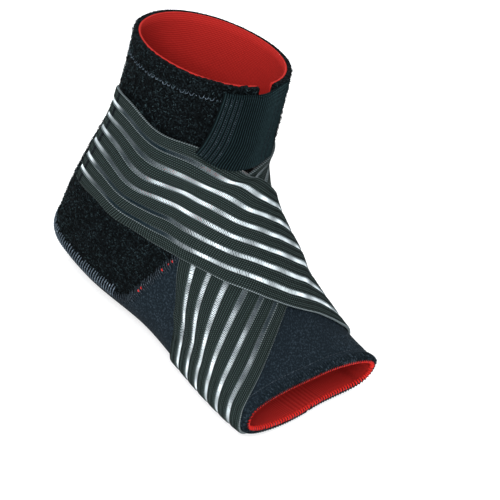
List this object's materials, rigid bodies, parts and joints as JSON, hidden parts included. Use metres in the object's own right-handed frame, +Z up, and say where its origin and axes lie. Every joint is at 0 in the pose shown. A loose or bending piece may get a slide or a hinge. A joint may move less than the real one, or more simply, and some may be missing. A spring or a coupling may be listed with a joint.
{
  "type": "ankle brace",
  "caption": "Open-toe ankle brace with a padded cuff, a smooth foot sleeve, a figure-eight elastic strap and a front closure tab, in its worn form.",
  "frame": {"origin": "middle of the bounding box, at its underside", "axes": "+Z up the leg, -Y towards the toes, +X towards the big-toe side of a right foot"},
  "size_m": [0.109, 0.182, 0.1587],
  "materials": {
    "plush": "loop plush",
    "lining": "knit",
    "neoprene": "smooth knit",
    "hook": "hook side of a fastener",
    "elastic": "woven",
    "tab_elastic": "ribbed weave"
  },
  "bodies": {
    "root": {"ankle_panel": "plush", "ankle_lining": "lining", "foot_sleeve": "neoprene", "foot_lining": "lining", "strap_hook_pad": "hook", "figure_eight_strap": "elastic", "closure_hook_pad": "hook", "closure_tab": "tab_elastic"}
  },
  "joints": []
}
